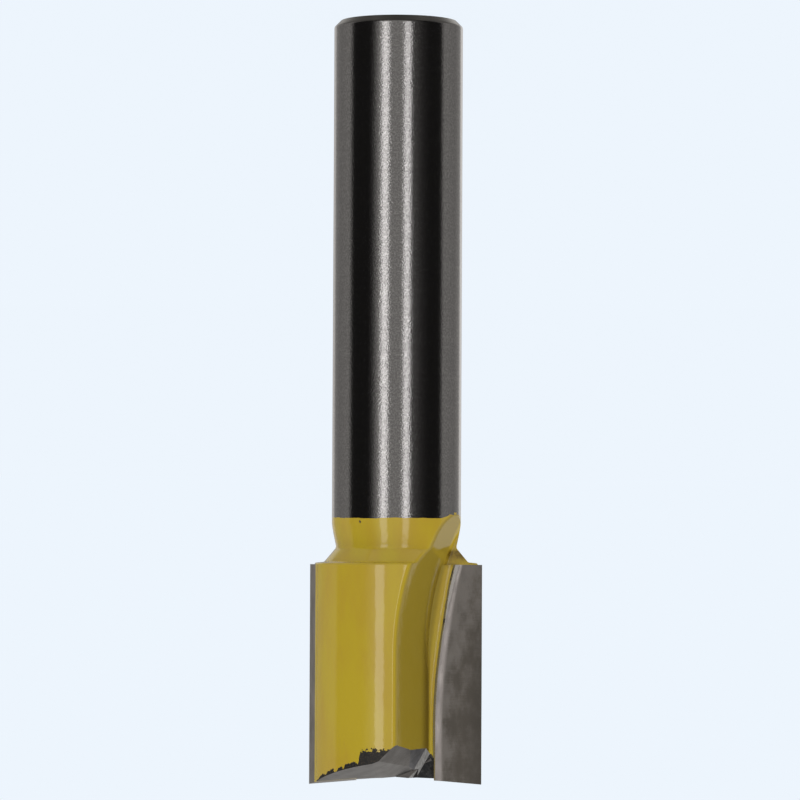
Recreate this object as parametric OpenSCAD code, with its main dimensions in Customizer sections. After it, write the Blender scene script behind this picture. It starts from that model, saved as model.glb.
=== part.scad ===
// Two-flute straight router bit with brazed carbide tips.
// It stands on the flat end of its shank, with the cutting end up.
// The axis is Z, and the tip that faces -Y lies on the -X side.

/* [Shank] */
// Diameter of the ground shank
shank_d = 12; // [8:0.1:12.7]
// Length of the shank, from its flat end to the start of the neck
shank_l = 47; // [30:0.5:70]
// Chamfer at the flat end of the shank
shank_chamfer = 0.6; // [0.2:0.1:1.2]

/* [Neck] */
// Smallest diameter of the neck
neck_d = 11.25; // [7.4:0.05:11.6]
// Length over which the shank tapers down to the neck
neck_taper_l = 1.9; // [1:0.1:4]
// Length of the neck at its smallest diameter
neck_land_l = 0.3; // [0.1:0.1:2]

/* [Head] */
// Diameter of the steel head
head_d = 15.2; // [14:0.1:15.6]
// Height of the cone between the neck and the shoulder
cone_l = 1.27; // [0.8:0.01:3]
// Width of the shoulder between the cone and the outside of the head
shoulder_w = 0.9; // [0.4:0.1:1.2]
// Chamfer that breaks the edge of the shoulder
shoulder_chamfer = 0.25; // [0.1:0.05:0.4]

/* [Flutes] */
// Distance of the flute wall from the axis
flute_wall_offset = 3.1; // [2.6:0.05:3.4]
// Angle between the flute wall's normal and the line of the cutting edges
flute_wall_angle = 24; // [20:0.5:28]
// Radius of the milling cutter that leaves the run-out of the flute
flute_wheel_r = 30; // [24:0.5:50]
// Length of the flute at full depth, from the cutting end
flute_full_l = 12.1; // [8:0.1:13]

/* [Carbide tips] */
// Diameter over the cutting edges
cutting_d = 16; // [15.9:0.1:17]
// Length of the cutting edges
cutting_l = 20.4; // [18:0.1:24]
// Distance of a tip from the shoulder, along the axis
tip_setback = 0.23; // [0.1:0.01:0.8]
// Thickness of a tip
tip_t = 2.2; // [1.6:0.1:2.6]
// Distance of a tip's inner edge from the axis, at the cutting end
tip_inner = 3.6; // [3.5:0.05:3.9]
// Radius of the inner edge of a tip where it sweeps outwards
seat_wheel_r = 58; // [50:1:80]
// Length over which the inner edge of a tip runs straight, from the cutting end
seat_straight_l = 4.3; // [2:0.1:6]
// Relief angle behind the cutting edge
side_relief = 16.5; // [12:0.5:18]
// Width of the unground ridge along the inner edge of the rake face
ridge_w = 0.4; // [0.2:0.05:0.6]
// Height of that ridge over the rake face
ridge_h = 0.1; // [0.05:0.01:0.2]

/* [Braze] */
// Thickness of the braze between a tip and its seat
braze_t = 0.1; // [0.05:0.01:0.15]
// Width of the bead of braze along a tip's inner edge
bead_w = 0.45; // [0.3:0.05:0.6]
// Height of that bead over the rake face
bead_h = 0.2; // [0.1:0.05:0.3]

/* [Cutting end] */
// Angle by which the end is dished towards the axis
end_dish = 4.8; // [3:0.1:7]
// Relief angle behind the end cutting edges, across the thickness of a tip
end_relief = 7; // [5:0.5:9]
// Steeper relief angle of the steel behind the tips
steel_relief = 16; // [12:0.5:18]
// Distance from the axis at which the relief of the centre starts
centre_relief_start = 0.1; // [0.1:0.1:0.8]
// Tilt of that relief
centre_relief_tilt = 25; // [22:0.5:28]
// Direction in which it falls, in plan
centre_relief_heading = 222; // [216:1:228]
// Depth of the heel facet at the trailing edge of the flute, below the cutting corners
heel_drop = 4; // [3:0.1:5]
// Tilt of the heel facet
heel_tilt = 48; // [40:1:55]
// Direction in which the heel facet falls, in plan
heel_heading = 213; // [205:1:220]
// Depth at which the gash leaves the root of the flute, below the cutting corners
gash_drop = 2.7; // [2:0.1:3.5]
// Distance of the gash from the axis at that depth
gash_start = 2.79; // [2.6:0.01:3]
// Distance of the floor of the gash in front of the rake face at that depth
gash_front = 0.61; // [0.4:0.01:0.8]
// Tilt of the gash away from the axis
gash_tilt = 35.5; // [32:0.5:38]
// Direction in which the gash leans, in plan
gash_heading = 219; // [214:1:224]
// Turn of the gash about its own length
gash_turn = 190; // [186:1:194]
// Angle between the two walls of the gash
gash_angle = 135; // [125:1:140]
// Width of the floor of the gash
gash_floor_w = 0.85; // [0.5:0.05:1]

/* [Hidden] */
$fn = 240;

shank_r = shank_d / 2;
neck_r = neck_d / 2;
head_r = head_d / 2;
cone_r = head_r - shoulder_w;
cutting_r = cutting_d / 2;

// Heights along the axis, from the flat end of the shank
neck_z = shank_l + neck_taper_l;
cone_z = neck_z + neck_land_l;
shoulder_z = cone_z + cone_l;
tip_z = shoulder_z + tip_setback;
overall_l = tip_z + cutting_l;
flute_start_z = overall_l - flute_full_l;
seat_start_z = overall_l - seat_straight_l;

// How far a cutting tool passes the head
overrun = 4;
// Reach of a cutting tool from the axis
reach = head_r + overrun;
// Side of a block that covers the whole head
block = 4 * reach;
// Share of a disc cutter's radius over which its rim leaves the part
rim_share = 0.5;

// Turns about the axis that carry one cutting edge to the next
back_turn = 0;
front_turn = 180;

// Outline in the XZ plane of what a disc cutter clears: the cutter's rim stands at x = rim
// down to start_z and then leaves the part along an arc of its own radius.
module cleared_outline(rim, wheel_r, start_z) {
    arc_l = wheel_r * rim_share;
    translate([rim, start_z])
        square([reach, overall_l + reach - start_z]);
    intersection() {
        translate([rim + wheel_r, start_z])
            circle(r = wheel_r);
        translate([rim - overrun, start_z - arc_l])
            square([reach + overrun, arc_l]);
    }
}

// Extrudes an XZ outline from y = from_y to y = to_y
module across(from_y, to_y) {
    translate([0, to_y, 0])
        rotate([90, 0, 0])
            linear_extrude(to_y - from_y)
                children();
}

// Everything beyond the plane through a point that tilts from level and falls along a heading
module beyond_plane(point, tilt, heading) {
    translate(point)
        rotate([0, tilt, heading])
            translate([-block / 2, -block / 2, 0])
                cube(block);
}

// The half of space on one side of the plane y = 0, round the head
module half_space(direction) {
    translate([-block / 2, direction > 0 ? 0 : -block / 2, 0])
        cube([block, block / 2, overall_l + reach]);
}

// Flute in front of the rake face at y = 0: its wall slants, and it runs out through the neck
module flute_cut() {
    intersection() {
        rotate([0, 0, flute_wall_angle])
            across(-reach, 2 * reach)
                cleared_outline(flute_wall_offset, flute_wheel_r, flute_start_z);
        half_space(1);
    }
}

// Seat behind the rake face, deeper than the tip by the thickness of the braze
module seat_cut() {
    across(-tip_t - braze_t, braze_t)
        beside_edge(braze_t);
}

// Dished end face that passes through the outer corner at y = from_y and falls back from there
module dished_cut(from_y, corner_z, relief) {
    span = block / 2;
    fall = span * tan(end_dish);
    translate([cutting_r, from_y, corner_z])
        rotate([relief, 0, 0])
            across(-span, span)
                polygon([[-span, -fall], [span, fall], [span, span], [-span, span]]);
}

// End face with the relief behind the end cutting edge
module end_cut() {
    dished_cut(0, overall_l, end_relief);
}

// Steeper end face of the steel, from the back of the tip on
module steel_end_cut() {
    dished_cut(-tip_t, overall_l - tip_t * tan(end_relief), steel_relief);
}

// Relief of the centre and the heel facet, on the lobe behind the tip
module lobe_facets() {
    centre_z = overall_l - (cutting_r - centre_relief_start) * tan(end_dish);
    intersection() {
        union() {
            beyond_plane([centre_relief_start, 0, centre_z], centre_relief_tilt, centre_relief_heading);
            beyond_plane([0, -head_r, overall_l - heel_drop], heel_tilt, heel_heading);
        }
        half_space(-1);
    }
}

// Gash in front of the end cutting edge: an open groove with a narrow floor
module gash_cut() {
    rise = reach * cos(gash_angle / 2);
    half_floor = gash_floor_w / 2;
    half_top = half_floor + reach * sin(gash_angle / 2);
    translate([gash_start, gash_front, overall_l - gash_drop])
        rotate([0, gash_tilt, gash_heading])
            rotate([0, 0, gash_turn])
                translate([0, 0, -reach])
                    linear_extrude(2 * reach)
                        polygon([[0, -half_floor], [rise, -half_top], [rise, half_top], [0, half_floor]]);
}

// Turned blank: shank, neck, cone, shoulder and head
module blank() {
    rotate_extrude()
        polygon([
            [0, 0],
            [shank_r - shank_chamfer, 0],
            [shank_r, shank_chamfer],
            [shank_r, shank_l],
            [neck_r, neck_z],
            [neck_r, cone_z],
            [cone_r, shoulder_z],
            [head_r - shoulder_chamfer, shoulder_z],
            [head_r, shoulder_z + shoulder_chamfer],
            [head_r, overall_l],
            [0, overall_l],
        ]);
}

// One steel body: shank, neck and a head with two flutes and two seats
module body() {
    color("darkkhaki")
        difference() {
            blank();
            for (turn = [back_turn, front_turn])
                rotate([0, 0, turn]) {
                    flute_cut();
                    seat_cut();
                    intersection() {
                        union() {
                            end_cut();
                            steel_end_cut();
                        }
                        half_space(-1);
                    }
                    lobe_facets();
                    gash_cut();
                }
        }
}

// What lies within a distance from a tip's inner edge, on the side of the tip
module beside_edge(distance) {
    cleared_outline(tip_inner - distance, seat_wheel_r + distance, seat_start_z);
}

// Space that a tip takes up, up to a height over the rake face
module tip_space(top_y) {
    intersection() {
        across(-tip_t, top_y)
            beside_edge(0);
        translate([-block / 2, -block / 2, tip_z])
            cube([block, block, cutting_l + reach]);
    }
}

// Carbide tip: a plate with side relief and end relief. Its rake face at y = 0 is ground
// back, which leaves a narrow ridge along the inner edge.
module carbide_tip(turn) {
    color("dimgray")
        rotate([0, 0, turn])
            difference() {
                tip_space(ridge_h);
                across(0, reach)
                    beside_edge(-ridge_w);
                translate([cutting_r, 0, 0])
                    rotate([0, 0, -side_relief])
                        translate([0, -reach, 0])
                            cube([block, block, overall_l + reach]);
                end_cut();
            }
}

// Round space that holds the braze: the head beside the tips, and the cone below them.
// A quarter turn keeps its seam clear of the rake face.
module braze_bounds() {
    rotate([0, 0, 90])
        rotate_extrude()
            polygon([
                [0, neck_z],
                [neck_r, neck_z],
                [neck_r, cone_z],
                [cone_r, shoulder_z],
                [cone_r, tip_z],
                [head_r, tip_z],
                [head_r, overall_l],
                [0, overall_l],
            ]);
}

// Braze joint: it fills the seat round the tip, down to the seat's run-out in the cone, and
// stands as a bead in the corner of the flute, along the inner edge
module braze_joint(turn) {
    color("goldenrod")
        rotate([0, 0, turn])
            difference() {
                intersection() {
                    union() {
                        across(-tip_t - braze_t, 0)
                            beside_edge(braze_t);
                        intersection() {
                            across(0, bead_h)
                                beside_edge(bead_w);
                            flute_cut();
                        }
                    }
                    braze_bounds();
                }
                tip_space(reach);
                end_cut();
                gash_cut();
            }
}

body();
carbide_tip(front_turn);  // front_carbide_tip
carbide_tip(back_turn);  // back_carbide_tip
braze_joint(front_turn);  // front_braze_joint
braze_joint(back_turn);  // back_braze_joint
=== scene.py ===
import math

import bmesh
import bpy
import numpy as np
from mathutils import Matrix


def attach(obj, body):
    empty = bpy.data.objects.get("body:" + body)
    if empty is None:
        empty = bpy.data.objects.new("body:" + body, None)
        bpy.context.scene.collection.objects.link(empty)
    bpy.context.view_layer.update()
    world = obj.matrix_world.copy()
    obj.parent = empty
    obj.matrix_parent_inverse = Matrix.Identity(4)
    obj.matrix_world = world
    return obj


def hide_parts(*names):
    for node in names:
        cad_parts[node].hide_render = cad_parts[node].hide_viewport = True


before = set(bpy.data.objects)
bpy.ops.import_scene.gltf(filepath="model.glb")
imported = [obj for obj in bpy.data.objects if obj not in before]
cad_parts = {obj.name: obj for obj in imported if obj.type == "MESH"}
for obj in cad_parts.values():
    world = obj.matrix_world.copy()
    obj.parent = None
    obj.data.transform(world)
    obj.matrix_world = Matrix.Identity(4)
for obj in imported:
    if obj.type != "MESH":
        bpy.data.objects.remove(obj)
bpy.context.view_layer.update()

# A straight router bit that stands on the end of its shank, cutting end up.
# Shapes are worked out in millimetres and scaled down once they are whole.
metres = 0.001
print("frame loaded:", ", ".join(sorted(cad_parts)))


def addObject(name, data):
    piece = bpy.data.objects.new(name, data)
    bpy.context.scene.collection.objects.link(piece)
    return piece


# The camera looks along +Y with the cutting end hanging down, as in the photo
viewpoint = {
    "distance": 405.0,  # from the axis
    "height": 48.4,
    "aimHeight": 35.38,
    "aside": -0.285,
    "lean": 0.0047,  # sideways run of the axis per unit of its length
    "lens": 195.7,
}


def setCamera():
    data = bpy.data.cameras.new("photoCamera")
    data.lens = viewpoint["lens"]
    data.clip_start = 0.01
    camera = addObject("photoCamera", data)
    place = np.array((viewpoint["aside"], -viewpoint["distance"], viewpoint["height"]))
    aim = np.array((viewpoint["aside"], 0.0, viewpoint["aimHeight"]))
    forward = (aim - place) / np.linalg.norm(aim - place)
    right = np.cross(forward, (viewpoint["lean"], 0.0, -1.0))
    right /= np.linalg.norm(right)
    turn = np.eye(4)
    turn[:3, 0], turn[:3, 1], turn[:3, 2] = right, np.cross(right, forward), -forward
    turn[:3, 3] = place * metres
    camera.matrix_world = Matrix(turn.tolist())
    bpy.context.scene.camera = camera


setCamera()
bpy.context.scene.view_settings.view_transform = "Standard"


# Node graphs are built from short calls: inputs may be values or other nodes' outputs
def addNode(tree, kind, inputs=None, **settings):
    node = tree.nodes.new("ShaderNode" + kind)
    for key, value in settings.items():
        setattr(node, key, value)
    for key, value in (inputs or {}).items():
        if isinstance(value, bpy.types.NodeSocket):
            tree.links.new(value, node.inputs[key])
        else:
            node.inputs[key].default_value = value
    return node


def calc(tree, operation, *values):
    return addNode(tree, "Math", dict(enumerate(values)), operation=operation).outputs[0]


def plus(tree, first, *others):
    for other in others:
        first = calc(tree, "ADD", first, other)
    return first


def times(tree, first, *others):
    for other in others:
        first = calc(tree, "MULTIPLY", first, other)
    return first


def minus(tree, first, second):
    return calc(tree, "SUBTRACT", first, second)


# The value plus depth times how far the change is from its middle
def vary(tree, value, change, depth, middle=0.5):
    return plus(tree, value, times(tree, minus(tree, change, middle), depth))


def spread(tree, value, low, high, start=0.0, end=1.0, smooth=True):
    kind = "SMOOTHSTEP" if smooth else "LINEAR"
    inputs = {"Value": value, "From Min": low, "From Max": high, "To Min": start, "To Max": end}
    return addNode(tree, "MapRange", inputs, interpolation_type=kind).outputs[0]


def blendColours(tree, share, first, second):
    return addNode(tree, "Mix", {0: share, 6: first, 7: second}, data_type="RGBA").outputs[2]


def noise(tree, place, scale, detail=2.0, roughness=0.5):
    inputs = {"Vector": place, "Scale": scale, "Detail": detail, "Roughness": roughness}
    return addNode(tree, "TexNoise", inputs).outputs[0]


def stretch(tree, place, scale):
    return addNode(tree, "Mapping", {"Vector": place, "Scale": scale}).outputs[0]


def millimetres(tree):
    objectPlace = addNode(tree, "TexCoord").outputs["Object"]
    return stretch(tree, objectPlace, (1 / metres,) * 3)


def newMaterial(name, **sockets):
    material = bpy.data.materials.new(name)
    material.use_nodes = True
    shader = material.node_tree.nodes["Principled BSDF"]
    for key, value in sockets.items():
        shader.inputs[key.replace("_", " ")].default_value = value
    return material, material.node_tree, shader


# Studio: a pale background and floor, two strip lights in front of the bit and two behind it, and
# a wall that only gloss sees, whose brightness changes round the bit
studio = {
    "background": (0.847, 0.913, 0.984, 1.0),
    "roomLight": 1.05,
    "roomColour": (1.0, 0.99, 0.97, 1.0),
    "floorSize": 6000.0,
    "floorColour": (0.80, 0.83, 0.87, 1.0),
    "floorOwn": 0.985,  # share of the floor's look that doesn't come from the lamps
    "stripDistance": 500.0,
    # angle from the camera's side towards -X, width, power
    "strips": ((16.9, 102.0, 0.138), (-22.8, 108.0, 0.146), (165.0, 158.0, 0.12), (196.0, 158.0, 0.12)),
    "stripHeight": 420.0,
    "stripRise": 7.0,  # middle of a strip from the camera's height
    "stripColour": (1.0, 0.985, 0.985),
    "wallRadius": 700.0,
    "wallColour": (1.0, 0.97, 0.94, 1.0),
    # angle round the bit, brightness
    "wallGlow": ((-180, 0.34), (-172, 0.3), (-166, 0.6), (-152, 0.6), (-146, 0.26), (-125, 0.2),
                 (-95, 0.24), (-89, 0.012), (-50, 0.012), (-44, 0.06), (-37, 0.2), (-32, 0.33),
                 (-30, 0.33), (-12, 0.26), (10, 0.26), (24, 0.11), (37, 0.05), (45, 0.025), (58, 0.012),
                 (85, 0.012), (88, 0.24), (125, 0.2), (146, 0.3), (152, 0.8), (166, 0.8), (172, 0.3),
                 (180, 0.34)),
    "lowWallAngle": 130.0,  # from here on to the back the wall is low
    "lowWallRise": 8.0,  # degrees up to the low wall's top
    "highWallTop": 660.0,
    "backGlow": 0.5,  # brightness above the low wall
    "backFade": 95.0,  # height over which it gets there
    "wallTop": 1200.0,
    "wallFoot": -1400.0,
    "capGlow": (0.3, 0.15),  # of the wall's closed end below, at its rim and its middle
}


# 1 for what the camera sees, also in gloss or through glass, and 0 for the light on surfaces
def seenByCamera(tree):
    path = addNode(tree, "LightPath").outputs
    mirrored = calc(tree, "MAXIMUM", path["Is Glossy Ray"], path["Is Transmission Ray"])
    return calc(tree, "MAXIMUM", path["Is Camera Ray"], mirrored)


def setWorld():
    world = bpy.data.worlds.new("studioRoom")
    bpy.context.scene.world = world
    world.use_nodes = True
    tree = world.node_tree
    tree.nodes.clear()
    shown = addNode(tree, "Background", {"Color": studio["background"], "Strength": 1.0}).outputs[0]
    light = addNode(tree, "Background", {"Color": studio["roomColour"], "Strength": studio["roomLight"]})
    mixed = addNode(tree, "MixShader", {0: seenByCamera(tree), 1: light.outputs[0], 2: shown}).outputs[0]
    addNode(tree, "OutputWorld", {"Surface": mixed})


def meshObject(name, vertices, faces, material=None):
    mesh = bpy.data.meshes.new(name)
    mesh.from_pydata(vertices, [], faces)
    mesh.validate()
    if material:
        mesh.materials.append(material)
    return addObject(name, mesh)


def setFloor():
    material, tree, shader = newMaterial("paleFloor", Roughness=0.9)
    shader.inputs["Base Color"].default_value = studio["floorColour"]
    own = addNode(tree, "Emission", {"Color": studio["background"], "Strength": 1.0}).outputs[0]
    share = times(tree, seenByCamera(tree), studio["floorOwn"])
    mixed = addNode(tree, "MixShader", {0: share, 1: shader.outputs[0], 2: own}).outputs[0]
    tree.links.new(mixed, tree.nodes["Material Output"].inputs["Surface"])
    half = studio["floorSize"] / 2 * metres
    corners = [(-half, -half, 0), (half, -half, 0), (half, half, 0), (-half, half, 0)]
    floor = meshObject("paleFloor", corners, [(0, 1, 2, 3)], material)
    floor.visible_glossy = False


# Wall: a cylinder round the bit, x = -r sin(angle), y = -r cos(angle), closed by a disc below,
# with its brightness kept for each angle
def setWall():
    angles = np.arange(-180.0, 181.0, 1.0)
    count = len(angles)
    glow = np.interp(angles, *np.array(studio["wallGlow"]).T)
    radius, foot = studio["wallRadius"], studio["wallFoot"]
    isLow = angles > studio["lowWallAngle"]
    lowTop = viewpoint["height"] + radius * math.tan(math.radians(studio["lowWallRise"]))
    top = np.where(isLow, lowTop, studio["highWallTop"])
    turn = np.radians(angles)

    def ringAt(z):
        return np.column_stack((-radius * np.sin(turn), -radius * np.cos(turn), np.broadcast_to(z, count)))

    # the ring at the foot is there twice, because the disc below has a brightness of its own
    rings = (ringAt(foot), ringAt(top), ringAt(foot), [(0.0, 0.0, foot)], ringAt(top + studio["backFade"]),
             ringAt(studio["wallTop"]))
    first = np.arange(count - 1)

    def between(under, over):
        return np.stack((first + under, first + 1 + under, first + 1 + over, first + over), 1).tolist()

    faces = between(0, count)
    faces += np.stack((first + 2 * count, first + 1 + 2 * count, np.full(count - 1, 3 * count)), 1).tolist()
    faces += between(count, 3 * count + 1) + between(3 * count + 1, 4 * count + 1)
    bright = np.where(isLow, studio["backGlow"], glow)
    rim, middle = studio["capGlow"]
    glow = np.concatenate((glow, glow, np.full(count, rim), [middle], bright, bright))
    material = bpy.data.materials.new("wallGlow")
    material.use_nodes = True
    tree = material.node_tree
    tree.nodes.clear()
    strength = addNode(tree, "Attribute", attribute_name="glow").outputs["Fac"]
    own = addNode(tree, "Emission", {"Color": studio["wallColour"], "Strength": strength}).outputs[0]
    addNode(tree, "OutputMaterial", {"Surface": own})
    vertices = np.concatenate(rings) * metres
    wall = meshObject("reflectionWall", vertices.tolist(), faces, material)
    wall.data.attributes.new("glow", "FLOAT", "POINT").data.foreach_set("value", glow.astype(np.float32))
    wall.visible_camera = wall.visible_diffuse = wall.visible_shadow = False
    wall.visible_transmission = wall.visible_volume_scatter = False


def setStrips():
    for number, (angle, width, power) in enumerate(studio["strips"]):
        data = bpy.data.lights.new(f"stripLight{number}", "AREA")
        data.shape = "RECTANGLE"
        data.size = width * metres
        data.size_y = studio["stripHeight"] * metres
        data.energy = power
        data.color = studio["stripColour"]
        strip = addObject(f"stripLight{number}", data)
        turn = math.radians(angle)
        away = np.array((-math.sin(turn), -math.cos(turn), 0.0))
        middle = np.array((0, 0, viewpoint["height"] + studio["stripRise"]))
        # the lamp shines along its own -Z, so its Z points away from the bit and its Y stands up
        axes = np.eye(4)
        axes[:3, 2], axes[:3, 1] = away, (0.0, 0.0, 1.0)
        axes[:3, 0] = np.cross(axes[:3, 1], axes[:3, 2])
        axes[:3, 3] = (away * studio["stripDistance"] + middle) * metres
        strip.matrix_world = Matrix(axes.tolist())
        strip.visible_glossy = abs(angle) < 90


setWorld()
setFloor()
setWall()
setStrips()
print("studio set")


# Helpers for the finishes
def colourRamp(tree, value, stops):
    node = addNode(tree, "ValToRGB", {0: value})
    steps = node.color_ramp.elements
    for index, (place, _) in enumerate(stops):
        step = steps[index] if index < 2 else steps.new(place)
        step.position = place
    for step, (place, level) in zip(sorted(steps, key=lambda s: s.position), sorted(stops)):
        step.position, step.color = place, (level, level, level, 1.0)
    return node.outputs[0]


def bump(tree, shader, height, depth):
    node = addNode(tree, "Bump", {"Height": height, "Strength": 1.0, "Distance": depth * metres})
    feed(tree, shader, "Normal", node.outputs[0])


def feed(tree, shader, socket, value):
    tree.links.new(value, shader.inputs[socket])


def field(tree, name):
    return addNode(tree, "Attribute", attribute_name=name).outputs["Fac"]


def splitPlace(tree, place):
    return addNode(tree, "SeparateXYZ", {0: place}).outputs


# Distance in front of the rake faces' plane, negative behind it: y times the sign of x
def aheadOfRake(tree, place):
    x, y, _ = splitPlace(tree, place)
    return times(tree, y, calc(tree, "SIGN", x))


# Shank: ground round its axis, so its fine lines run round and the gloss spreads along the axis
shankLook = {
    "roughness": 0.17,
    "anisotropy": 0.9,
    "grainSize": (7.0, 7.0, 9.0),  # grains per millimetre across, across and along the axis
    "grainDepth": 0.010,
    "coarseSize": (0.5, 0.5, 2.6),
    "turningSize": 7.0,  # rings per millimetre on the flat end
    "speckSize": (6.0, 6.0, 6.0),
    "darker": (0.54, 0.53, 0.525, 1.0),
    "lighter": (0.60, 0.59, 0.58, 1.0),
    "speck": (0.45, 0.44, 0.435, 1.0),
    "end": (0.16, 0.155, 0.145, 1.0),  # the chamfer and the flat end
    "endZ": (0.55, 0.65),
}


def groundShank():
    look = shankLook
    material, tree, shader = newMaterial("groundShank", Metallic=1.0, Roughness=look["roughness"],
                                         Anisotropic=look["anisotropy"], Anisotropic_Rotation=0.25)
    place = millimetres(tree)
    x, y, z = splitPlace(tree, place)
    grain = noise(tree, stretch(tree, place, look["grainSize"]), 1.0, 1.0, 0.5)
    coarse = noise(tree, stretch(tree, place, look["coarseSize"]), 1.0, 3.0, 0.6)
    # turned rings on the flat end follow the distance from the axis
    radius = calc(tree, "SQRT", plus(tree, times(tree, x, x), times(tree, y, y)))
    rings = addNode(tree, "CombineXYZ", {0: times(tree, radius, look["turningSize"])}).outputs[0]
    turned = noise(tree, rings, 1.0, 3.0, 0.7)
    bump(tree, shader, plus(tree, grain, times(tree, plus(tree, coarse, turned), 0.25)), look["grainDepth"])
    light = blendColours(tree, spread(tree, coarse, 0.35, 0.65), look["darker"], look["lighter"])
    specks = noise(tree, stretch(tree, place, look["speckSize"]), 1.0, 2.0, 0.6)
    light = blendColours(tree, spread(tree, specks, 0.36, 0.66), look["speck"], light)
    feed(tree, shader, "Base Color", blendColours(tree, spread(tree, z, *look["endZ"]), look["end"], light))
    feed(tree, shader, "Tangent", addNode(tree, "Tangent", direction_type="RADIAL", axis="Z").outputs[0])
    return material


# Paint: glossy yellow, chipped where the cutting end was ground after painting
paintLook = {
    "colour": (0.46, 0.337, 0.024, 1.0),
    "warmer": (0.44, 0.30, 0.028, 1.0),
    "cloudSize": (0.35, 0.35, 0.12),
    "flute": (0.305, 0.218, 0.022, 1.0),  # painted shade on a flute's wall
    "root": (0.125, 0.077, 0.005, 1.0),  # painted shade along the root of a flute
    "rootShadeZ": (50.2, 51.2),  # where the painted shade along the root starts
    "rootShadeShare": 0.85,
    "runOutShade": (0.145, 0.088, 0.006, 1.0),  # painted shade where the flute's floor runs out in the cone
    "runOutShadeZ": (49.1, 49.5, 49.8, 50.6, 50.7, 51.2),  # starts, full, still full, weak, still weak, gone
    "runOutShadeWeak": 0.3,
    "roughness": 0.09,
    "gloss": 1.9,  # index of refraction
    "skinDepth": 0.03,
    "chip": (0.012, 0.009, 0.005, 1.0),
    "chipRim": (0.06, 0.034, 0.008, 1.0),
    "chipRoughness": 0.6,
    "pit": (3.35, -4.98, 46.74),  # where a small pit is
    # place across the lobe, height of the chips over the end facets
    "frontChips": ((-8, 0), (0.3, 0), (0.5, 0.05), (1.0, 0.5), (1.45, 1.0), (2.0, 1.3), (3.15, 1.5),
                   (3.3, 0.9), (3.4, 0.15), (3.6, 0.45), (4.6, 0.5), (4.75, 0.1), (4.9, 0.4), (5.2, 0.35),
                   (5.35, 0.05), (5.6, 0.1), (5.7, 0.45), (6.2, 0.4), (6.4, 0.1), (6.6, 0.35), (6.9, 0.3),
                   (7.1, 0.1)),
    "backChips": ((-8, 0), (1.0, 0.1), (1.6, 0.6), (2.7, 0.8), (3.0, 0.2), (3.9, 0.15), (4.3, 0.6),
                  (5.3, 0.5), (5.5, 0.1), (6.3, 0.3), (6.9, 0.1)),
    "chipReach": 8.0,  # the tables above run from minus this to this
    "chipMost": 2.0,
    "gashChips": (0.36, 0.9),  # along the gash: how rare they are, how far they go
}


def chipHeight(tree, across, stops):
    reach, most = paintLook["chipReach"], paintLook["chipMost"]
    share = spread(tree, across, -reach, reach, smooth=False)
    steps = [((place + reach) / (2 * reach), height / most) for place, height in stops]
    return times(tree, colourRamp(tree, share, steps), most)


# The coat's colour: cloudy, with painted shade on the flutes' walls, and darker, browner painted shade
# along their roots and on the run-out of their floors
def paintColour(tree, place):
    look = paintLook
    _, y, z = splitPlace(tree, place)
    cloud = spread(tree, noise(tree, stretch(tree, place, look["cloudSize"]), 1.0, 3.0), 0.35, 0.65)
    paint = blendColours(tree, cloud, look["colour"], look["warmer"])
    off = calc(tree, "ABSOLUTE", y)
    onWall = spread(tree, field(tree, "wallDepth"), 0.14, 0.0)
    # painted shade: the coat is darker on the flutes' walls
    paint = blendColours(tree, times(tree, onWall, spread(tree, off, 0.45, 0.95)), paint, look["flute"])
    # painted shade along the flutes' roots
    inRootShade = times(tree, spread(tree, off, 2.5, 0.9), spread(tree, off, 0.45, 0.85), onWall,
                   spread(tree, z, *look["rootShadeZ"], 0.0, look["rootShadeShare"]))
    paint = blendColours(tree, inRootShade, paint, look["root"])
    ahead = aheadOfRake(tree, place)
    start, full, stillFull, weak, stillWeak, gone = look["runOutShadeZ"]
    # painted shade on the flute's floor where it runs out in the cone
    inRunOutShade = times(tree, spread(tree, ahead, -0.08, -0.02), spread(tree, ahead, 0.9, 0.3),
                    spread(tree, z, start, full), spread(tree, z, weak, stillFull, look["runOutShadeWeak"], 1.0),
                    spread(tree, z, gone, stillWeak))
    patches = spread(tree, noise(tree, place, 1.2, 3.0, 0.6), 0.3, 0.6, 0.45, 1.0)
    return blendColours(tree, times(tree, inRunOutShade, patches), paint, look["runOutShade"])


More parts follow.
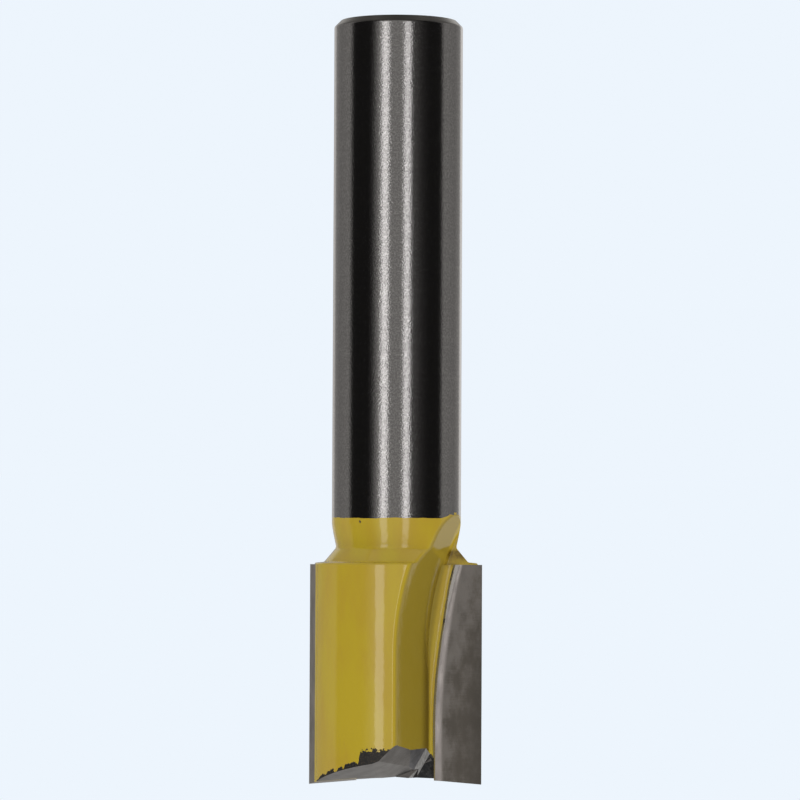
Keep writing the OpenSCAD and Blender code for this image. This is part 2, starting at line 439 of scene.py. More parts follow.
def yellowPaint():
    look = paintLook
    material, tree, shader = newMaterial("yellowPaint", Roughness=look["roughness"], IOR=look["gloss"])
    place = millimetres(tree)
    x, y, _ = splitPlace(tree, place)
    ragged = noise(tree, place, 3.2, 3.0, 0.7)
    fine = noise(tree, place, 9.0, 2.0, 0.6)
    # chips over the end facets, from the table of the lobe that the point is on
    front = calc(tree, "LESS_THAN", y, 0.0)
    across = vary(tree, times(tree, x, minus(tree, times(tree, front, 2.0), 1.0)), ragged, 0.35)
    height = plus(tree, times(tree, chipHeight(tree, across, look["frontChips"]), front),
                  times(tree, chipHeight(tree, across, look["backChips"]), minus(tree, 1.0, front)))
    height = times(tree, height, spread(tree, ragged, 0.3, 0.7, 0.75, 1.15))
    overEnd = minus(tree, vary(tree, height, fine, 0.08, 0.42), field(tree, "endGap"))
    rare, deep = look["gashChips"]
    byGash = minus(tree, times(tree, minus(tree, ragged, rare), deep), field(tree, "gashGap"))
    bare = calc(tree, "MAXIMUM", overEnd, byGash)
    # a small pit near the paint's edge
    gap = addNode(tree, "VectorMath", {0: place, 1: look["pit"]}, operation="DISTANCE").outputs["Value"]
    pit = minus(tree, times(tree, fine, 0.2), gap)
    chipped = calc(tree, "MAXIMUM", spread(tree, bare, 0.0, 0.03), spread(tree, pit, -0.02, 0.02))
    chipTone = blendColours(tree, spread(tree, fine, 0.5, 0.68), look["chip"], look["chipRim"])
    feed(tree, shader, "Base Color", blendColours(tree, chipped, paintColour(tree, place), chipTone))
    feed(tree, shader, "Roughness",
         spread(tree, chipped, 0.0, 1.0, look["roughness"], look["chipRoughness"]))
    skin = times(tree, noise(tree, place, 0.9, 2.0), 0.5)
    relief = plus(tree, minus(tree, skin, chipped), times(tree, fine, chipped, 1.2))
    bump(tree, shader, relief, look["skinDepth"])
    return material


# Facets ground into the cutting end, with fine lines: darker and lighter tone, metallic share
facetLook = {
    "facet": ((0.225, 0.212, 0.20, 1.0), (0.30, 0.285, 0.27, 1.0), 1.0),
    "gashWall": ((0.085, 0.083, 0.086, 1.0), (0.14, 0.138, 0.145, 1.0), 0.3),
    "roughness": 0.42,
    "lines": (1.5, 16.0, 5.0),  # lines per millimetre in x, y and z
    "lineDepth": 0.004,
}


def groundFacet(name, darker, lighter, metal):
    material, tree, shader = newMaterial(name, Metallic=metal, Roughness=facetLook["roughness"])
    place = millimetres(tree)
    lines = noise(tree, stretch(tree, place, facetLook["lines"]), 1.0, 3.0, 0.6)
    cloud = noise(tree, place, 0.8, 2.0)
    share = plus(tree, times(tree, lines, 0.5), times(tree, cloud, 0.5))
    feed(tree, shader, "Base Color", blendColours(tree, spread(tree, share, 0.4, 0.6), darker, lighter))
    bump(tree, shader, lines, facetLook["lineDepth"])
    return material


# Gash: nearly black on the wall by the tip and on that side of its ground floor
gashLook = {
    "nearBlack": ((0.008, 0.007, 0.006, 1.0), (0.045, 0.042, 0.04, 1.0)),
    "nearBlackRoughness": 0.6,
    "nearBlackDepth": 0.12,
    "floor": ((0.30, 0.292, 0.28, 1.0), (0.44, 0.43, 0.415, 1.0)),
    "floorNearBlack": (0.03, 0.028, 0.027, 1.0),
    "floorMetal": 0.6,
    "floorRoughness": 0.45,
    "floorLines": (9.0, 3.0, 2.0),
    "floorDepth": 0.006,
}


def gashNearBlack():
    material, tree, shader = newMaterial("gashNearBlack", Roughness=gashLook["nearBlackRoughness"])
    lumps = noise(tree, millimetres(tree), 2.6, 4.0, 0.65)
    feed(tree, shader, "Base Color", blendColours(tree, spread(tree, lumps, 0.45, 0.75), *gashLook["nearBlack"]))
    bump(tree, shader, lumps, gashLook["nearBlackDepth"])
    return material


def gashFloor():
    material, tree, shader = newMaterial("gashFloor", Metallic=gashLook["floorMetal"],
                                         Roughness=gashLook["floorRoughness"])
    place = millimetres(tree)
    lines = noise(tree, stretch(tree, place, gashLook["floorLines"]), 1.0, 3.0, 0.6)
    tone = blendColours(tree, spread(tree, lines, 0.35, 0.65), *gashLook["floor"])
    across = vary(tree, field(tree, "gashAcross"), noise(tree, place, 4.0, 3.0, 0.6), 0.15)
    tone = blendColours(tree, spread(tree, across, 0.0, -0.06), tone, gashLook["floorNearBlack"])
    feed(tree, shader, "Base Color", tone)
    bump(tree, shader, lines, gashLook["floorDepth"])
    return material


# Carbide: dark and mottled, lighter beside its ridge, partly as a painted highlight, with faint lines
# across the rake face
carbideLook = {
    "colour": (0.22, 0.2, 0.173, 1.0),
    "lighter": (0.38, 0.352, 0.325, 1.0),
    "outer": (0.15, 0.138, 0.12, 1.0),  # towards the cutting edge
    "strip": (0.62, 0.57, 0.54, 1.0),  # painted highlight on the slope beside the ridge
    "lapFrom": -1.8,  # the paint laps over the flank from here back
    "noLap": -9.0,  # on the ground end
    "roughness": 0.34,  # on average
    "mottledRoughness": (0.28, 0.42),
    "mottleSize": (0.9, 0.9, 0.45),
    "lines": (0.7, 6.0, 12.0),
    "lineDepth": 0.004,
}


def groundCarbide(name, lapFrom):
    look = carbideLook
    material, tree, shader = newMaterial(name, Metallic=1.0, Roughness=look["roughness"])
    place = millimetres(tree)
    z = splitPlace(tree, place)[2]
    mottle = noise(tree, stretch(tree, place, look["mottleSize"]), 1.0, 4.0, 0.6)
    lines = noise(tree, stretch(tree, place, look["lines"]), 1.0, 3.0, 0.6)
    # lighter towards the ridge and the shoulder, darker towards the cutting edge
    share = times(tree, spread(tree, field(tree, "tipGap"), -2.4, -0.4), 0.55)
    share = vary(tree, vary(tree, share, mottle, 2.2, 0.42), lines, 0.5)
    share = plus(tree, share, spread(tree, z, 64.0, 51.0, 0.0, 0.42))
    tone = blendColours(tree, spread(tree, share, 0.0, 1.0), look["colour"], look["lighter"])
    outer = times(tree, spread(tree, field(tree, "tipGap"), -2.4, -4.2),
                  spread(tree, z, 51.5, 55.0, 0.2, 0.6))
    tone = blendColours(tree, outer, tone, look["outer"])
    # the slope beside the ridge is lighter, a painted highlight, and the flank is lighter than the rake
    # face
    gap = vary(tree, field(tree, "jointGap"), lines, 0.1)
    tone = blendColours(tree, times(tree, spread(tree, gap, -0.85, -0.55), 0.8), tone, look["strip"])
    byJoint = spread(tree, gap, -0.14, -0.06)
    tone = blendColours(tree, byJoint, tone, brazeFinish["scorched"])
    depth = aheadOfRake(tree, place)
    onFlank = calc(tree, "LESS_THAN", depth, -0.02)
    tone = blendColours(tree, times(tree, onFlank, 0.8), tone, look["lighter"])
    ragged = plus(tree, depth, times(tree, mottle, 0.12))
    lap = spread(tree, ragged, lapFrom + 0.08, lapFrom + 0.02)
    feed(tree, shader, "Base Color", blendColours(tree, lap, tone, paintLook["colour"]))
    covered = calc(tree, "MAXIMUM", lap, byJoint)
    feed(tree, shader, "Metallic", spread(tree, covered, 0.0, 1.0, 1.0, 0.0, smooth=False))
    feed(tree, shader, "Roughness", spread(tree, mottle, 0.3, 0.7, *look["mottledRoughness"]))
    bump(tree, shader, plus(tree, lines, times(tree, mottle, 0.6)), look["lineDepth"])
    return material


# Braze: painted with the head, with a burnt line along the carbide, and bare behind the tip
brazeFinish = {
    "burnt": (0.018, 0.013, 0.006, 1.0),
    "scorched": (0.165, 0.12, 0.018, 1.0),
    "bare": (0.46, 0.38, 0.17, 1.0),
    "ground": (0.36, 0.33, 0.30, 1.0),  # flush with the carbide beside it
    "jointHalf": 0.1,  # half the burnt line's width
    "shade": 0.8,  # how far the bead's outer side goes to the flute's colour
    "roughness": 0.2,
    "burntRoughness": 0.55,
    "burntZ": (60.0, 52.0),  # more burnt spots from here to there
    "raggedSize": (2.0, 2.0, 1.1),
    "lumpDepth": 0.04,
# how far the bead's outer side goes to the flute's painted shade
}


def paintedBraze():
    look = brazeFinish
    material, tree, shader = newMaterial("paintedBraze", Roughness=look["roughness"],
                                         IOR=paintLook["gloss"])
    place = millimetres(tree)
    z = splitPlace(tree, place)[2]
    # painted shade on the bead's outer side, towards the flute's wall
    shade = spread(tree, field(tree, "jointGap"), 0.6, 1.1, 0.0, look["shade"])
    paint = blendColours(tree, shade, paintColour(tree, place), paintLook["flute"])
    ragged = noise(tree, stretch(tree, place, look["raggedSize"]), 1.0, 4.0, 0.7)
    gap = vary(tree, field(tree, "jointGap"), ragged, 0.2)
    half = look["jointHalf"]
    burnt = spread(tree, gap, half + 0.03, half - 0.03)
    spots = plus(tree, ragged, spread(tree, z, *look["burntZ"], 0.0, 0.07))
    line = blendColours(tree, spread(tree, spots, 0.6, 0.68), look["scorched"], look["burnt"])
    tone = blendColours(tree, burnt, paint, line)
    tone = blendColours(tree, spread(tree, gap, 0.03 - half, -0.03 - half), tone, look["ground"])
    behind = calc(tree, "LESS_THAN", aheadOfRake(tree, place), 0.02 - bit["tipThick"])
    feed(tree, shader, "Base Color", blendColours(tree, times(tree, behind, 0.8), tone, look["bare"]))
    feed(tree, shader, "Roughness",
         spread(tree, burnt, 0.0, 1.0, look["roughness"], look["burntRoughness"]))
    lumps = noise(tree, place, 1.6, 3.0)
    bump(tree, shader, minus(tree, lumps, times(tree, burnt, 0.5)), look["lumpDepth"])
    return material


# Shapes that several pieces share, from the flat end of the shank upwards
bit = {
    "headR": 7.6,  # radius behind the tips
    "cuttingR": 8.0,
    "tipZ": 50.7,  # the tips' lower end
    "endZ": 71.1,  # the cutting corners
    "blankTop": 72.0,  # before the end is ground
    "wallOffset": 3.1,  # from the axis to the flute's wall
    "wallAngle": 24.0,
    "wheelR": 30.0,  # cutter of the flute's wall, which runs straight above the next height
    "wallStraightZ": 59.0,
    "tipThick": 2.2,
    "tipInner": 3.6,  # from the axis to the tip's inner edge, where that is straight
    "tipWheelR": 58.0,  # cutter of the tip's seat
    "tipStraightZ": 66.8,
    "film": 0.1,  # braze between a tip and its seat
    "sideRelief": 16.5,  # in degrees, like all the angles
    "endDish": 4.8,
    "endRelief": 7.0,
    "steelRelief": 16.0,
}


# A disc cutter's reach at height z: straight down to startZ, then the arc
# offset + r - sqrt(r^2 - (startZ - z)^2)
def cutterEdge(z, offset, wheelR, startZ):
    drop = np.clip(startZ - z, 0, wheelR * 0.99)
    return offset + wheelR - np.sqrt(wheelR**2 - drop**2)


def fluteWall(z):
    return cutterEdge(z, bit["wallOffset"], bit["wheelR"], bit["wallStraightZ"])


def tipEdge(z, margin=0.0):
    return cutterEdge(z, bit["tipInner"] - margin, bit["tipWheelR"] + margin, bit["tipStraightZ"])


def pointsAt(x, y):
    x, y = np.broadcast_arrays(np.asarray(x, float), np.asarray(y, float))
    return np.stack((x, y), 1)


# Profile with rounded corners: a corner c of reach t becomes c - t (1-s)^2 in + t s^2 out for s
# from 0 to 1. Each leg has a spacing of its own for the rows.
def roundedProfile(corners, reaches, spacing, steps=6):
    corners = np.array(corners, float)
    leg = np.diff(corners, axis=0)
    length = np.hypot(leg[:, 0], leg[:, 1])
    way = leg / length[:, None]
    s = np.linspace(0, 1, steps)[:, None]
    points = [corners[:1]]
    for i in range(1, len(corners) - 1):
        reach = min(reaches[i - 1], 0.48 * length[i - 1], 0.48 * length[i])
        bend = corners[i] - reach * (1 - s) ** 2 * way[i - 1] + reach * s**2 * way[i]
        points += [betweenPoints(points[-1][-1], bend[0], spacing[i - 1]), bend]
    points += [betweenPoints(points[-1][-1], corners[-1], spacing[-1]), corners[-1:]]
    return np.concatenate(points)


def betweenPoints(start, end, spacing):
    count = max(int(np.linalg.norm(end - start) / spacing), 1)
    s = np.linspace(0, 1, count + 1)[1:-1, None]
    return start + s * (end - start)


# Outline corners for all rows at once: a corner with its two directions becomes the same curve
def roundCorner(corner, before, after, reach, steps=7):
    s = np.linspace(0, 1, steps)[None, :, None]

    def way(target):
        line = target - corner
        length = np.linalg.norm(line, axis=1, keepdims=True)
        return line / np.maximum(length, 1e-9), length

    inWay, inLength = way(before)
    outWay, outLength = way(after)
    reach = np.minimum(reach, 0.45 * np.minimum(inLength, outLength))[:, None, :]
    return corner[:, None] + reach * (1 - s) ** 2 * inWay[:, None] + reach * s**2 * outWay[:, None]


# Steps from 0 to 1, even or, as (1 - cos(pi t)) / 2, closer together at both ends
def stepsBetween(count, even=True):
    t = np.linspace(0, 1, count + 2)[1:-1]
    return t if even else (1 - np.cos(np.pi * t)) / 2


def straight(start, end, count, even=True):
    s = stepsBetween(count, even)[None, :, None]
    return start[:, None] + s * (end - start)[:, None]


def arc(radius, fromAngle, toAngle, count, even=True):
    s = stepsBetween(count, even)[None]
    turn = fromAngle[:, None] + s * (toAngle - fromAngle)[:, None]
    return radius[:, None, None] * np.stack((np.cos(turn), np.sin(turn)), 2)


# Closed solid from rows of outline points, counterclockwise seen from above
def loftSolid(name, rows, heights):
    count, around = rows.shape[:2]
    heights = np.broadcast_to(np.asarray(heights, float).reshape(count, -1), (count, around))
    vertices = np.concatenate((rows, heights[:, :, None]), 2).reshape(-1, 3)
    row, column = np.meshgrid(np.arange(count - 1), np.arange(around), indexing="ij")
    here, ahead = row * around + column, row * around + (column + 1) % around
    faces = np.stack((here, ahead, ahead + around, here + around), 2).reshape(-1, 4).tolist()
    faces.append(list(range(around))[::-1])
    faces.append(list(range((count - 1) * around, count * around)))
    return cleanPiece(name, vertices, faces)


def cleanPiece(name, vertices, faces):
    mesh = bpy.data.meshes.new(name)
    mesh.from_pydata(np.asarray(vertices).tolist(), [], faces)
    work = bmesh.new()
    work.from_mesh(mesh)
    bmesh.ops.remove_doubles(work, verts=work.verts, dist=1e-4)
    bmesh.ops.dissolve_degenerate(work, edges=work.edges, dist=1e-4)
    work.to_mesh(mesh)
    work.free()
    return addObject(name, mesh)


# Body: rows of one outline up a profile of radius and height
bodyLook = {
    "profile": ((5.4, 0.0), (6.0, 0.6), (6.0, 45.4), (6.0, 46.4), (6.0, 46.98), (5.86, 47.8),
                (5.735, 48.4), (5.61, 49.0), (5.64, 49.2), (6.7, 50.47), (7.5, 50.55), (7.6, 50.68),
                (7.6, 50.699), (7.6, 50.7), (7.6, 72.0)),
    "profileRounding": (0.1, 0.0, 0.0, 0.3, 0.2, 0.2, 0.1, 0.1, 0.12, 0.07, 0.05, 0.0, 0.0),
    "rowSpacing": (0.2, 2.0, 0.1, 0.1, 0.15, 0.15, 0.15, 0.1, 0.06, 0.06, 0.05, 0.05, 0.05, 0.3),
    "paintZ": 46.4,  # where the paint starts
    "paintBlend": 1.4,  # height over which rows follow the paint's edge
    "paintWaves": ((0.03, 5, 0.6), (0.02, 11, 2.0), (0.012, 29, 0.0)),  # height, number, start
    "fluteDrop": 0.42,  # the paint's edge is lower by this at a flute
    "fluteReach": 0.3,  # in radians round the bit
    "wallMargin": 0.02,  # this deep behind a flute's wall, rows start to follow the paint's edge
    "wallFade": 0.1,
    "edgeRounding": 0.55,  # the painted edge of a flute
    "rootRounding": 0.1,
    "shallowRounding": 0.02,  # where the flute's floor has run out
}


# Half an outline of the body at one radius and height: the seat of a tip, the floor and wall of
# its flute, and the outside up to the next seat
def bodyHalf(radius, z):
    angle = math.radians(bit["wallAngle"])
    floorY = -(bit["tipThick"] + bit["film"])
    wall = fluteWall(z)
    seat = np.where(z < bit["tipZ"], radius, np.minimum(tipEdge(z, bit["film"]), radius))
    full = np.sqrt(radius**2 - floorY**2)
    outerX = np.clip(seat, full, radius)
    outerY = -np.sqrt(np.maximum(radius**2 - outerX**2, 0))
    seatOuter, seatDeep, seatTop = pointsAt(outerX, outerY), pointsAt(seat, outerY), pointsAt(seat, 0.0)
    root = wall / math.cos(angle)
    half = np.arccos(np.minimum(wall / radius, 1.0))
    startAngle = np.maximum(angle - half, 0)
    shallow = root >= radius
    start = np.where(shallow[:, None], pointsAt(radius * np.cos(startAngle), radius * np.sin(startAngle)),
                     pointsAt(np.minimum(root, seat), 0.0))
    exitAngle = angle + half
    leave = pointsAt(radius * np.cos(exitAngle), radius * np.sin(exitAngle))
    nextAngle = np.pi + np.arctan2(outerY, outerX)
    beyond = leave + pointsAt(-np.sin(exitAngle), np.cos(exitAngle))
    edge = roundCorner(leave, start, beyond, bodyLook["edgeRounding"], steps=11)
    # the rounding stays inside the circle
    edge *= np.minimum(radius[:, None, None] / np.linalg.norm(edge, axis=2, keepdims=True), 1.0)
    rounding = np.where(shallow, bodyLook["shallowRounding"], bodyLook["rootRounding"])
    rootBend = roundCorner(start, seatTop, leave, rounding[:, None])
    bendAngle = np.maximum(np.arctan2(rootBend[:, 0, 1], rootBend[:, 0, 0]), 0)
    floorPart = np.where(shallow[:, None, None], arc(radius, np.zeros_like(z), bendAngle, 8),
                         straight(seatTop, rootBend[:, 0], 8))
    edgeEnd = np.arctan2(edge[:, -1, 1], edge[:, -1, 0])
    edgeEnd = np.where(edgeEnd < 0, edgeEnd + 2 * np.pi, edgeEnd)
    return np.concatenate((seatOuter[:, None], straight(seatOuter, seatDeep, 4), seatDeep[:, None],
                           straight(seatDeep, seatTop, 3), seatTop[:, None], floorPart, rootBend,
                           straight(rootBend[:, -1], edge[:, 0], 20, even=False), edge,
                           arc(radius, edgeEnd, nextAngle, 84, even=False)), 1)


# Depth behind the flute wall of the lobe with y < 0
def wallDepth(x, y, z):
    angle = math.radians(bit["wallAngle"])
    return fluteWall(z) + x * math.cos(angle) + y * math.sin(angle)


# Both lobes are alike, half a turn apart, so a point is turned to the lobe with y < 0
def toLobe(x, y):
    side = np.where(y > 0, -1.0, 1.0)
    return x * side, y * side


# The paint's edge above or below its height: waves round the bit, and a drop at each flute
def paintWave(angle):
    wave = sum(high * np.sin(number * angle + start) for high, number, start in bodyLook["paintWaves"])
    fromFlute = np.mod(angle - math.radians(bit["wallAngle"]) + np.pi / 2, np.pi) - np.pi / 2
    return wave - bodyLook["fluteDrop"] * np.exp(-((fromFlute / bodyLook["fluteReach"]) ** 2))


def followPaint(x, y, z):
    share = np.clip(1 - np.abs(z - bodyLook["paintZ"]) / bodyLook["paintBlend"], 0, 1)
    offWall = (wallDepth(*toLobe(x, y), z) - bodyLook["wallMargin"]) / bodyLook["wallFade"]
    return z + share * np.clip(offWall, 0, 1) * paintWave(np.arctan2(y, x))


def buildBody():
    profile = roundedProfile(bodyLook["profile"], bodyLook["profileRounding"], bodyLook["rowSpacing"])
    radius, z = profile[:, 0], profile[:, 1]
    half = bodyHalf(radius, z)
    rows = np.concatenate((half, -half), 1)
    piece = loftSolid("paintedBody", rows, followPaint(rows[:, :, 0], rows[:, :, 1], z[:, None]))
    # faces below the paint's edge are bare steel, apart from the flutes' walls
    centres = np.zeros(len(piece.data.polygons) * 3)
    piece.data.polygons.foreach_get("center", centres)
    x, y, z = centres.reshape(-1, 3).T
    belowPaint = z < bodyLook["paintZ"] + paintWave(np.arctan2(y, x))
    bare = belowPaint & (wallDepth(*toLobe(x, y), z) > bodyLook["wallMargin"] / 2)
    piece.data.materials.append(yellowPaint())
    piece.data.materials.append(groundShank())
    piece.data.polygons.foreach_set("material_index", bare.astype(np.int32))
    return piece


# Planes of the cutting end on the lobe with y < 0, each z = a + b x + c y. A tilt is how steeply a
# plane falls and a heading is the way it falls, in degrees from +X towards +Y.
endFacets = {
    "centreStart": 0.1,  # x where the centre facet starts
    "centreTilt": 25.0,
    "centreHeading": 222.0,
    "heelDrop": 4.0,  # below the cutting corners, at the outside
    "heelTilt": 48.0,
    "heelHeading": 213.0,
    "gashDrop": 2.7,  # a point on the gash's floor is this far below the cutting corners
    "gashStart": 2.79,  # its x
    "gashFront": 0.61,  # its y
    "gashTilt": 35.5,  # of the gash's length from the axis
    "gashHeading": 219.0,
    "gashTurn": 190.0,  # about its length
    "gashAngle": 135.0,  # between the gash's walls
    "gashFloor": 0.85,  # width
    "blockReach": 12.0,  # the blocks that are cut away go past the part on every side
    "blockTop": 85.0,
    "pastRake": 0.004,  # how far they go past the rake face's plane
}


def fallingPlane(x, y, z, tilt, heading):
    slope = math.tan(math.radians(tilt))
    b = -slope * math.cos(math.radians(heading))
    c = -slope * math.sin(math.radians(heading))
    return z - b * x - c * y, b, c


# Plane that falls from the cutting edge at y towards the axis by the dish, and behind by its relief
def dishedPlane(y, cornerZ, relief):
    b = math.tan(math.radians(bit["endDish"])) / math.cos(math.radians(relief))
    c = math.tan(math.radians(relief))
    return cornerZ - b * bit["cuttingR"] - c * y, b, c


def reliefPlane():
    return dishedPlane(0, bit["endZ"], bit["endRelief"])


# The relief of the tips, the steel behind them, the facet at the centre and the one at the heel
def endPlanes():
    cut = endFacets
    behindTip = bit["endZ"] - bit["tipThick"] * math.tan(math.radians(bit["endRelief"]))
    steel = dishedPlane(-bit["tipThick"], behindTip, bit["steelRelief"])
    inward = bit["cuttingR"] - cut["centreStart"]
    centreZ = bit["endZ"] - inward * math.tan(math.radians(bit["endDish"]))
    centre = fallingPlane(cut["centreStart"], 0, centreZ, cut["centreTilt"], cut["centreHeading"])
    heelZ = bit["endZ"] - cut["heelDrop"]
    heel = fallingPlane(0, -bit["headR"], heelZ, cut["heelTilt"], cut["heelHeading"])
    return reliefPlane(), steel, centre, heel


# Block above a plane, up to y = highY
def blockAbove(plane, highY=endFacets["pastRake"]):
    a, b, c = plane
    reach = endFacets["blockReach"]
    corners = np.array(((-reach, -reach), (reach, -reach), (reach, highY), (-reach, highY)))
    low = np.column_stack((corners, a + b * corners[:, 0] + c * corners[:, 1]))
    return np.concatenate((low, np.column_stack((corners, np.full(4, endFacets["blockTop"])))))


def turnAbout(axis, degrees):
    return np.array(Matrix.Rotation(math.radians(degrees), 3, axis))


# The gash's directions up from its floor, across it and along it, a point on its floor, half the
# angle between its walls and half the floor's width
def gashFrame():
    cut = endFacets
    turn = (turnAbout("Z", cut["gashHeading"]) @ turnAbout("Y", cut["gashTilt"])
            @ turnAbout("Z", cut["gashTurn"]))
    start = (cut["gashStart"], cut["gashFront"], bit["endZ"] - cut["gashDrop"])
    return turn, start, math.radians(cut["gashAngle"] / 2), cut["gashFloor"] / 2


# Place across the gash's floor, and the gap to the gash from outside it
def gashPlace(points):
    turn, start, opening, floorHalf = gashFrame()
    up, across, _ = ((points - start) @ turn).T
    wall = (np.abs(across) - floorHalf) * math.cos(opening) - up * math.sin(opening)
    return across, np.maximum(wall, -up)


# Gash: a groove with a narrow floor, its outline pushed along its own length both ways
def gashBlock():
    turn, start, opening, floorHalf = gashFrame()
    length = 3 * endFacets["heelDrop"]
    topHalf = floorHalf + length * math.sin(opening)
    rise = length * math.cos(opening)
    outline = np.array(((0, -floorHalf), (rise, -topHalf), (rise, topHalf), (0, floorHalf)))
    points = np.concatenate([np.column_stack((outline, np.full(4, end))) for end in (-length, length)])
    return points @ turn.T + start


# Faces of a block: low, high, and the sides; on the gash the sides are the wall by the tip,
# the open top, the wall of the lobe and the floor. A finish has a material's number for each.
boxFaces = [(0, 3, 2, 1), (4, 5, 6, 7), (0, 1, 5, 4), (1, 2, 6, 5), (2, 3, 7, 6), (3, 0, 4, 7)]
plainFinish = (0,) * 6
gashFinish = (0, 0, 1, 0, 3, 2)


# Takes the blocks away from a piece one by one; the cut faces keep the block's own materials
def cutAway(piece, blocks, turns, materials):
    for index, (block, turn) in enumerate((b, t) for t in turns for b in blocks):
        points, finish = block
        cutter = meshObject(f"cutter{index}", (points * (turn, turn, 1)).tolist(), boxFaces)
        for material in materials:
            cutter.data.materials.append(material)
        cutter.data.polygons.foreach_set("material_index", finish)
        modifier = piece.modifiers.new("cut", "BOOLEAN")
        modifier.object, modifier.solver, modifier.operation = cutter, "EXACT", "DIFFERENCE"
        modifier.material_mode = "TRANSFER"
        graph = bpy.context.evaluated_depsgraph_get()
        cut = bpy.data.meshes.new_from_object(piece.evaluated_get(graph))
        piece.modifiers.clear()
        piece.data = cut
        bpy.data.objects.remove(cutter)


def pointsOf(piece):
    points = np.zeros(len(piece.data.vertices) * 3)
    piece.data.vertices.foreach_get("co", points)
    return points.reshape(-1, 3).T


def keepField(piece, name, values):
    kept = piece.data.attributes.new(name, "FLOAT", "POINT")
    kept.data.foreach_set("value", np.ascontiguousarray(values, dtype=np.float32))


# Fields for the paint, on the lobe with y < 0 once a point is turned there: the height left to
# the lowest end plane, the depth behind the flute wall, the place across the gash and the gap to it
def keepPaintFields(piece):
    x, y, z = pointsOf(piece)
    x, y = toLobe(x, y)
    keepField(piece, "endGap", np.min([a + b * x + c * y - z for a, b, c in endPlanes()], axis=0))
    keepField(piece, "wallDepth", wallDepth(x, y, z))
    across, gap = gashPlace(np.stack((x, y, z), 1))
    keepField(piece, "gashAcross", across)
    keepField(piece, "gashGap", gap)


# Gaps to the inner edge of the tip that the piece belongs to and to the dark line along the
# joint, both positive on the side of the axis
def keepTipGap(piece, turn):
    x, _, z = pointsOf(piece)
    gap = tipEdge(z) - x * turn
    keepField(piece, "tipGap", gap)
    keepField(piece, "jointGap", gap - jointLine(z))


def jointLine(z):
    return np.interp(z, *np.array(brazeLook["jointLine"]).T)


def finishPiece(piece, smoothAngle=32.0, flat=()):
    piece.data.transform(Matrix.Scale(metres, 4))
    finish = np.zeros(len(piece.data.polygons), np.int32)
    piece.data.polygons.foreach_get("material_index", finish)
    names = [m.name for m in piece.data.materials]
    flatSlots = [names.index(m.name) for m in flat if m.name in names]
    piece.data.shade_smooth()
    piece.data.set_sharp_from_angle(angle=math.radians(smoothAngle))
    piece.data.polygons.foreach_set("use_smooth", ~np.isin(finish, flatSlots))
    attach(piece, "root")


# Carbide tip: back, relief flank, rake face and the slope that the grinding wheel left beside
# the inner edge, y = r w t^2 for t from 0 to 1 across its width w
tipLook = {
    "ridgeRatio": 0.11,  # height of the ridge for each width of the slope
    "slopeWidth": (0.4, 1.1),  # at the shoulder and at the cutting end
    "rowSpacing": 0.4,
    "smoothAngle": 20.0,
}


def heightsOf(spacing):
    return np.arange(bit["tipZ"], bit["blankTop"], spacing)


def slopeWidth(z):
    return np.interp(z, (bit["tipZ"], bit["endZ"]), tipLook["slopeWidth"])


def buildTip(name, turn):
    z = heightsOf(tipLook["rowSpacing"])
    inner = tipEdge(z)
    level = np.zeros_like(z)
    width = slopeWidth(z)[:, None]
    back = bit["cuttingR"] - bit["tipThick"] * math.tan(math.radians(bit["sideRelief"]))
    s = np.linspace(0, 1, 9)
    slope = np.stack((inner[:, None] + width * (1 - s), tipLook["ridgeRatio"] * width * s**2), 2)
    corners = [pointsAt(inner, level - bit["tipThick"]), pointsAt(level + back, level - bit["tipThick"]),
               pointsAt(level + bit["cuttingR"], level)]
    rows = np.concatenate([c[:, None] for c in corners] + [straight(corners[2], slope[:, 0], 10), slope], 1)
    return loftSolid(name, rows * turn, z)


# Braze: a film behind and beside the tip, a bead that rises from the joint to its land, and a
# fillet (1-s)^2 land + 2 s (1-s) corner + s^2 wall from there up the flute wall
brazeLook = {
    "wallHeight": (0.95, 0.75),  # how far the fillet climbs, at the shoulder and at the end
    "landHeight": 0.38,
    "landSlope": 0.32,
    "landLeast": 0.05,  # how far the land stays in front of the flute wall
    "wallLap": 0.01,  # how far the fillet's foot goes into the wall
    "beadEndSlope": 0.06,
    "beadLeast": 0.08,  # width of the bead
    "beadAhead": 0.05,  # how far beyond the dark line it starts
    "beadInset": 0.1,  # how far from the tip's inner edge it starts at least
    "plateSlope": 0.15,  # between the tip's inner edge and the bead
    "landInset": ((50.7, 0.95), (51.7, 0.87), (53.5, 0.69), (55.8, 0.62), (59.3, 0.52), (67.7, 0.42)),
    "jointLine": ((51.0, 0.46), (52.75, 0.39), (54.0, 0.29), (56.3, 0.15), (60.0, 0.08), (67.0, 0.0)),
    "beadSteep": 2.55,  # how steeply it leaves the joint
    "rowSpacing": 0.2,
}


# How far out the head's surface is at a depth y behind the rake face
def headSide(y):
    return math.sqrt(bit["headR"] ** 2 - y**2)


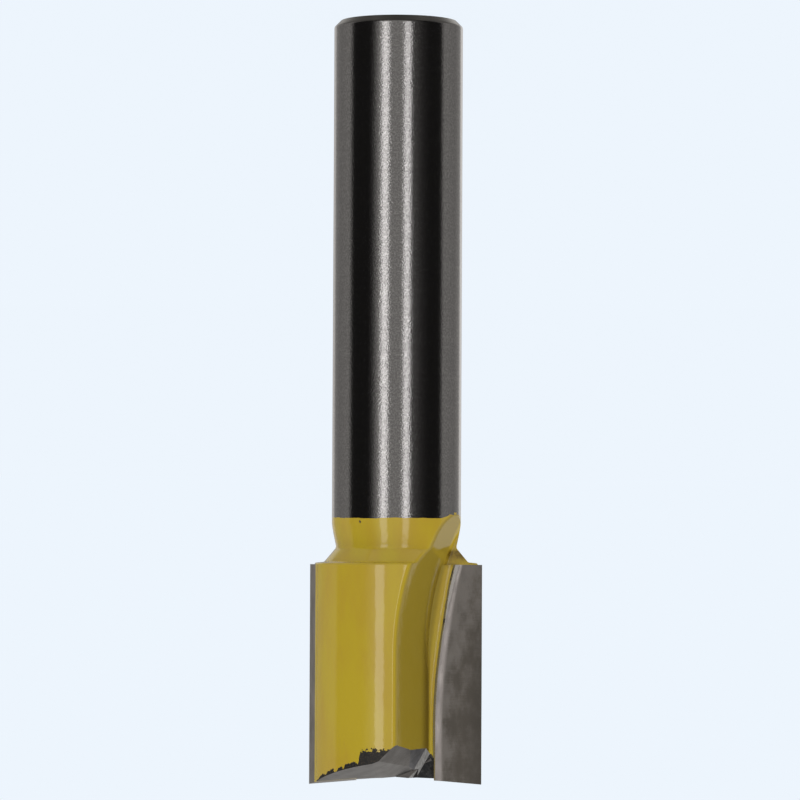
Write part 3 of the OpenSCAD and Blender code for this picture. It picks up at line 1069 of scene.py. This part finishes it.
def buildBraze(name, turn):
    look = brazeLook
    z = heightsOf(look["rowSpacing"])
    inner, seat, level = tipEdge(z), tipEdge(z, bit["film"]), np.zeros_like(z)
    lean = math.tan(math.radians(bit["wallAngle"]))
    root = fluteWall(z) / math.cos(math.radians(bit["wallAngle"]))
    high, slope = look["landHeight"], look["landSlope"]
    inset = np.interp(z, *np.array(look["landInset"]).T)
    landX = np.maximum(inner - inset, root - high * lean + look["landLeast"])
    land = pointsAt(landX, high)
    cornerX = (root - lean * (high + landX * slope)) / (1 - lean * slope)
    corner = pointsAt(cornerX, high + (landX - cornerX) * slope)
    topY = np.interp(z, (bit["tipZ"], bit["endZ"]), look["wallHeight"])
    top = pointsAt(root - topY * lean, topY)
    beadStart = np.maximum(jointLine(z) - look["beadAhead"], look["beadInset"])
    jointX = np.maximum(inner - beadStart, landX + look["beadLeast"])
    ridge = tipLook["ridgeRatio"] * slopeWidth(z)
    plate = ridge + look["plateSlope"] * (inner - jointX)
    joint = pointsAt(jointX, plate)
    s = np.linspace(0, 1, 13)[None, :, None]
    fillet = s**2 * top[:, None] + 2 * s * (1 - s) * corner[:, None] + (1 - s) ** 2 * land[:, None]
    # the bead's height is a cubic of its width, steep at the joint and nearly level at the land
    rise = np.linspace(0, 1, 8)[None, :, None]
    leave = look["beadSteep"]
    arrive = (look["beadEndSlope"] * (jointX - landX) / (high - plate))[:, None, None]
    ease = (leave + arrive - 2) * rise**3 + (3 - 2 * leave - arrive) * rise**2 + leave * rise
    share = np.concatenate((np.broadcast_to(rise, ease.shape), ease), 2)
    roll = joint[:, None] + share * (land - joint)[:, None]
    thick, deep = bit["tipThick"], bit["tipThick"] + bit["film"]
    behind = [(seat, -deep), (level + headSide(deep), -deep), (level + headSide(thick), -thick),
              (inner, -thick), (inner, 0.0), (inner, ridge)]
    floor = [(root - look["wallLap"], 0.0), (seat, 0.0)]
    behind, floor = (np.stack([pointsAt(x, y) for x, y in part], 1) for part in (behind, floor))
    rows = np.concatenate((behind, roll[:, :-1], fillet, floor), 1)
    return loftSolid(name, rows * turn, z)


facet = groundFacet("groundFacet", *facetLook["facet"])
gashWall = groundFacet("gashWall", *facetLook["gashWall"])
endFinishes = (facet, gashNearBlack(), gashFloor(), gashWall)
endBlocks = [(blockAbove(plane), plainFinish) for plane in endPlanes()] + [(gashBlock(), gashFinish)]

body = buildBody()
print("body lofted:", len(body.data.polygons), "faces")
cutAway(body, endBlocks, (1, -1), endFinishes)
keepPaintFields(body)
finishPiece(body, flat=endFinishes)
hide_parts("body")
print("body cut:", len(body.data.polygons), "faces")

tipBlock = (blockAbove(reliefPlane(), highY=endFacets["blockReach"]), plainFinish)
carbide = groundCarbide("groundCarbide", carbideLook["lapFrom"])
joint = paintedBraze()
carbideEnd = groundCarbide("carbideEnd", carbideLook["noLap"])
for side, turn in (("back", 1), ("front", -1)):
    tip = buildTip(side + "CarbideTip", turn)
    tip.data.materials.append(carbide)
    cutAway(tip, [tipBlock], (turn,), (carbideEnd,))
    keepTipGap(tip, turn)
    finishPiece(tip, tipLook["smoothAngle"])
    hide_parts(side + "_carbide_tip")
    braze = buildBraze(side + "BrazeFillet", turn)
    braze.data.materials.append(joint)
    cutAway(braze, [tipBlock, (gashBlock(), gashFinish)], (turn,), endFinishes)
    keepPaintFields(braze)
    keepTipGap(braze, turn)
    finishPiece(braze, flat=endFinishes)
    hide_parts(side + "_braze_joint")
print("tips and braze made")
